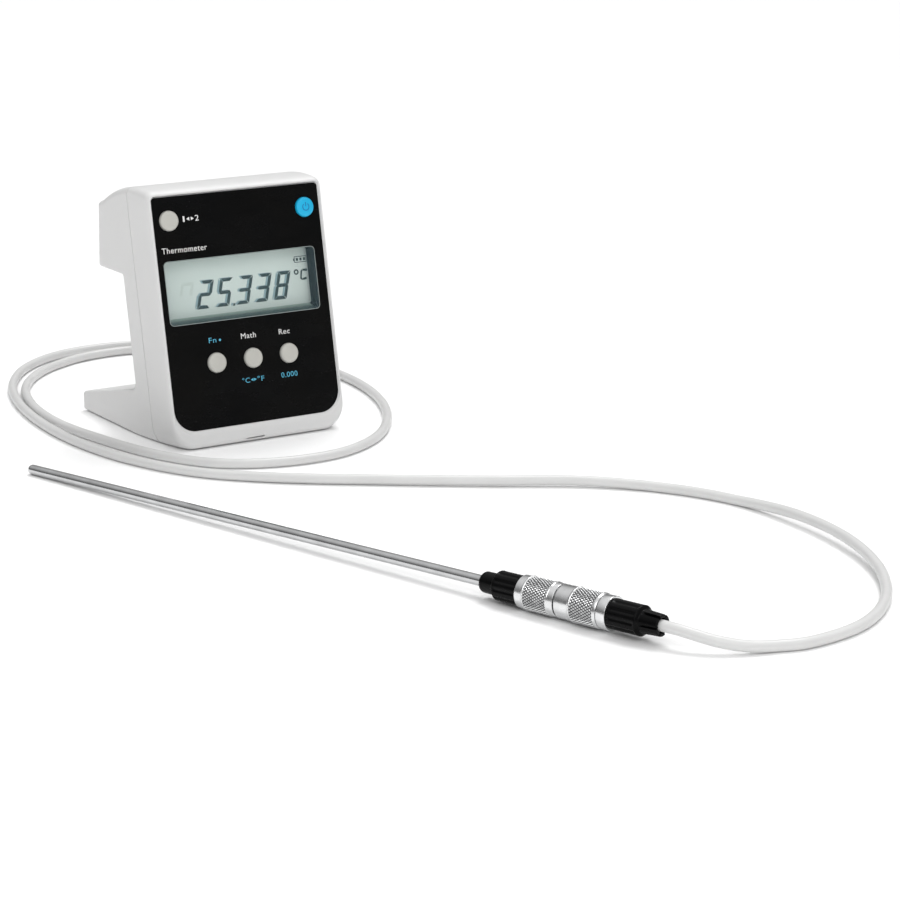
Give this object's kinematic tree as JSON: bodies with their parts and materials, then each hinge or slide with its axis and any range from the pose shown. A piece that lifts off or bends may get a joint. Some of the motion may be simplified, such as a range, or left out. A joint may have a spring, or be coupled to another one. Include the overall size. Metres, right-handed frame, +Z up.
{
  "type": "digital bench thermometer",
  "caption": "Desk-standing digital thermometer with a C-shaped case, recessed display and push buttons, and a long steel immersion probe on a screw-coupled lead.",
  "frame": {"origin": "centre of the case's footprint, on the table under its feet", "axes": "+Z up, the display and the buttons face -Y, +X to the right of someone reading the display"},
  "size_m": [0.3237, 0.7797, 0.1588],
  "materials": {
    "case_white": "fine satin texture",
    "overlay_black": "smooth, slightly glossy film",
    "window_clear": "clear, polished",
    "display_glass": "grey-green reflective display",
    "bezel_dark": "matt, dark blue-grey",
    "board_green": "solder mask",
    "inner_black": "moulded",
    "button_grey": "matt silicone",
    "button_blue": "matt silicone",
    "nickel": "satin nickel plate",
    "stainless": "drawn, polished",
    "nut_black": "satin",
    "foot_rubber": "matt",
    "lead_white": "smooth, slightly glossy jacket",
    "cell_sleeve": "shrink sleeve",
    "gold": "gold plated contacts",
    "ceramic": "potted element and insulation"
  },
  "bodies": {
    "case": {"front_frame": "case_white", "rear_shell": "case_white", "front_overlay": "overlay_black", "lcd_window": "window_clear", "lcd_bezel": "bezel_dark", "lcd_glass": "display_glass", "lcd_connector_strip": "ceramic", "main_board": "board_green", "battery_tray": "inner_black", "door_hinge_pin": "stainless", "battery_contact_left": "nickel", "battery_contact_right": "nickel", "battery_spring_lower": "nickel", "battery_spring_upper": "nickel", "sensor_socket_1": "nickel", "sensor_socket_2": "nickel", "socket_nut_1": "nickel", "socket_nut_2": "nickel", "case_plug_body": "nickel", "case_clamp_nut": "nut_black", "lead": "lead_white", "lead_plug_body": "nickel", "lead_clamp_nut": "nut_black", "foot_front_left": "foot_rubber", "foot_front_right": "foot_rubber", "foot_rear_left": "foot_rubber", "foot_rear_right": "foot_rubber", "battery_cell_1": "cell_sleeve", "case_screw_1": "stainless", "battery_cell_2": "cell_sleeve", "case_screw_2": "stainless", "battery_cell_3": "cell_sleeve", "case_screw_3": "stainless", "battery_cell_4": "cell_sleeve", "case_screw_4": "stainless", "channel_switch": "inner_black", "power_switch": "inner_black", "function_switch": "inner_black", "math_switch": "inner_black", "record_switch": "inner_black"},
    "probe": {"probe_tube": "stainless", "sensor_element": "ceramic", "sensor_leads": "ceramic", "probe_clamp_nut": "nut_black", "probe_connector_body": "nickel", "probe_pin_insert": "gold"},
    "battery_door_body": {"battery_door": "case_white"},
    "case_ring": {"case_coupling_ring": "nickel"},
    "lead_ring": {"lead_coupling_ring": "nickel"},
    "channel_key": {"channel_button": "button_grey"},
    "power_key": {"power_button": "button_blue"},
    "function_key": {"function_button": "button_grey"},
    "math_key": {"math_button": "button_grey"},
    "record_key": {"record_button": "button_grey"}
  },
  "joints": [
    {"name": "channel_press", "type": "slide", "parent": "case", "child": "channel_key", "axis": [0, 0.982, -0.1891], "range_m": [0, 0.0008], "stiffness_N_per_m": 800, "springref_m": -0.0005},
    {"name": "power_press", "type": "slide", "parent": "case", "child": "power_key", "axis": [0, 0.982, -0.1891], "range_m": [0, 0.0008], "stiffness_N_per_m": 800, "springref_m": -0.0005},
    {"name": "function_press", "type": "slide", "parent": "case", "child": "function_key", "axis": [0, 0.982, -0.1891], "range_m": [0, 0.0008], "stiffness_N_per_m": 800, "springref_m": -0.0005},
    {"name": "math_press", "type": "slide", "parent": "case", "child": "math_key", "axis": [0, 0.982, -0.1891], "range_m": [0, 0.0008], "stiffness_N_per_m": 800, "springref_m": -0.0005},
    {"name": "record_press", "type": "slide", "parent": "case", "child": "record_key", "axis": [0, 0.982, -0.1891], "range_m": [0, 0.0008], "stiffness_N_per_m": 800, "springref_m": -0.0005},
    {"name": "battery_door_hinge", "type": "hinge", "parent": "case", "child": "battery_door_body", "pos_m": [0, 0.03365, 0.1093], "axis": [-1, 0, 0], "range_deg": [0, 95]},
    {"name": "case_ring_turn", "type": "hinge", "parent": "case", "child": "case_ring", "pos_m": [0.025, 0.00502, 0.0523], "axis": [0, 0.982, -0.1891], "range_deg": [0, 540]},
    {"name": "lead_ring_turn", "type": "hinge", "parent": "case", "child": "lead_ring", "pos_m": [-0.03698, -0.46832, 0.00977], "axis": [0.277, -0.9607, 0.0157], "range_deg": [0, 540]},
    {"name": "probe_unplug", "type": "slide", "parent": "case", "child": "probe", "axis": [-0.277, 0.9607, -0.0157], "range_m": [0, 0.012]}
  ]
}
